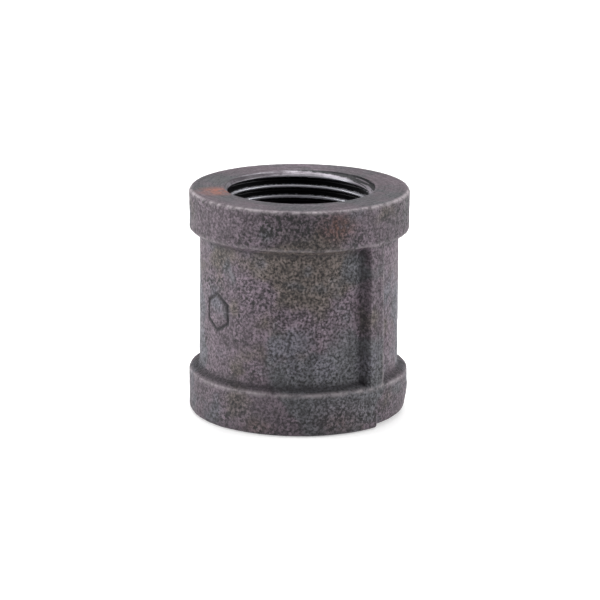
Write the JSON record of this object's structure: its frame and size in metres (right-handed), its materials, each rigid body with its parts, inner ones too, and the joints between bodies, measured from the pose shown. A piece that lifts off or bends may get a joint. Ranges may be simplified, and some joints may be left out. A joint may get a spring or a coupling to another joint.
{
  "type": "pipe coupling",
  "caption": "Straight banded pipe coupling in malleable iron: a short ribbed sleeve with a taper pipe thread tapped into each end, for joining two pipes end to end.",
  "frame": {"origin": "centre of the lower end face, on the axis of the bore", "axes": "+Z along the bore from the lower end to the upper end; +X through one of the two lengthwise ribs, which lie on the parting plane XZ"},
  "size_m": [0.0374, 0.0374, 0.0386],
  "materials": {
    "black_malleable_iron": "as-cast black oxide skin, fine sand grain, faint rust on the faced end, bright cut thread crests"
  },
  "bodies": {
    "root": {"coupling_body": "black_malleable_iron"}
  },
  "joints": []
}
